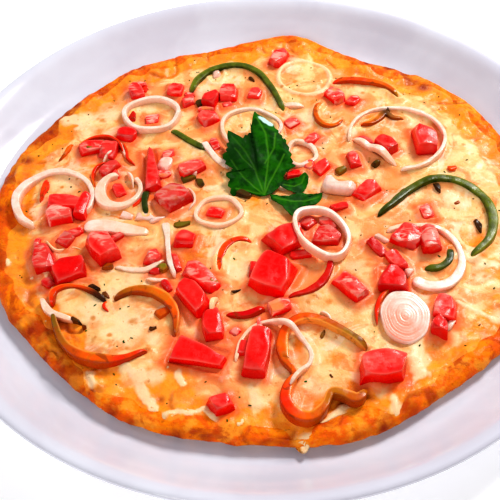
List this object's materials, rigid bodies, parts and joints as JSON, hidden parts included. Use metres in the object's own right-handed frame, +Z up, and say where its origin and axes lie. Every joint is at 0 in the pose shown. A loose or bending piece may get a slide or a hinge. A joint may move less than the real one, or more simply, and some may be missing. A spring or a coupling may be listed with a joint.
{
  "type": "vegetable pizza on a plate",
  "caption": "Round baked pizza with melted cheese, diced tomato, onion rings, bell pepper strips and a parsley leaf, on a round white plate.",
  "frame": {"origin": "on the table, under the middle of the plate", "axes": "+Z up from the table; the pictured near side of the pizza is towards -Y, and +X is to its right"},
  "size_m": [0.33, 0.33, 0.0247],
  "materials": {
    "plate_glaze": "smooth glossy white glaze with a faint lavender tint",
    "dough": "baked dough, golden to orange-brown, oily sheen, pale at its lower edge",
    "cheese": "melted cheese, cream to golden, soft gloss, browned in spots and towards the rim",
    "tomato": "wet tomato, smooth red skin and paler pink-red flesh",
    "onion": "translucent white onion with fine lines along each skin",
    "green_pepper": "roasted green pepper, smooth skin outside and pale flesh inside",
    "orange_pepper": "roasted orange-red pepper with browned edges",
    "parsley": "fresh deep green leaf with paler veins"
  },
  "bodies": {
    "root": {"plate": "plate_glaze", "crust": "dough", "cheese": "cheese", "tomato_far_left": "tomato", "tomato_far_pair": "tomato", "tomato_far_corner": "tomato", "tomato_left_slice": "tomato", "tomato_left_curl": "tomato", "tomato_long_skin": "tomato", "tomato_round": "tomato", "tomato_in_ring": "tomato", "tomato_left_wet": "tomato", "tomato_left_skin": "tomato", "tomato_cube": "tomato", "tomato_seeded": "tomato", "tomato_long_wedge": "tomato", "tomato_flat_skin": "tomato", "tomato_near_strip": "tomato", "tomato_slab": "tomato", "tomato_big_skin": "tomato", "tomato_wedge": "tomato", "tomato_under_ring": "tomato", "tomato_near_block": "tomato", "tomato_dark_leg": "tomato", "tomato_group": "tomato", "tomato_pair": "tomato", "tomato_tall_block": "tomato", "tomato_right_wedge": "tomato", "tomato_right_dice": "tomato", "tomato_pale": "tomato", "pepper_green_far": "green_pepper", "pepper_green_stick": "green_pepper", "pepper_green_right": "green_pepper", "pepper_green_dark": "green_pepper", "pepper_green_hook": "green_pepper", "pepper_orange_upper": "orange_pepper", "pepper_orange_lower": "orange_pepper", "pepper_orange_curl": "orange_pepper", "pepper_lobed": "orange_pepper", "pepper_red_arc": "orange_pepper", "pepper_red_strip": "orange_pepper", "pepper_orange_far": "orange_pepper", "pepper_brown_curl": "orange_pepper", "pepper_brown_wave": "orange_pepper", "onion_ring_far": "onion", "onion_ring_back": "onion", "onion_ring_small": "onion", "onion_ring_front": "onion", "onion_ring_leaf": "onion", "onion_ring_left": "onion", "onion_twist": "onion", "onion_ring_right": "onion", "onion_arc": "onion", "onion_band": "onion", "onion_stalk": "onion", "onion_fork": "onion", "onion_thread": "onion", "onion_slice": "onion", "onion_heart": "onion", "parsley_leaf": "parsley"}
  },
  "joints": []
}
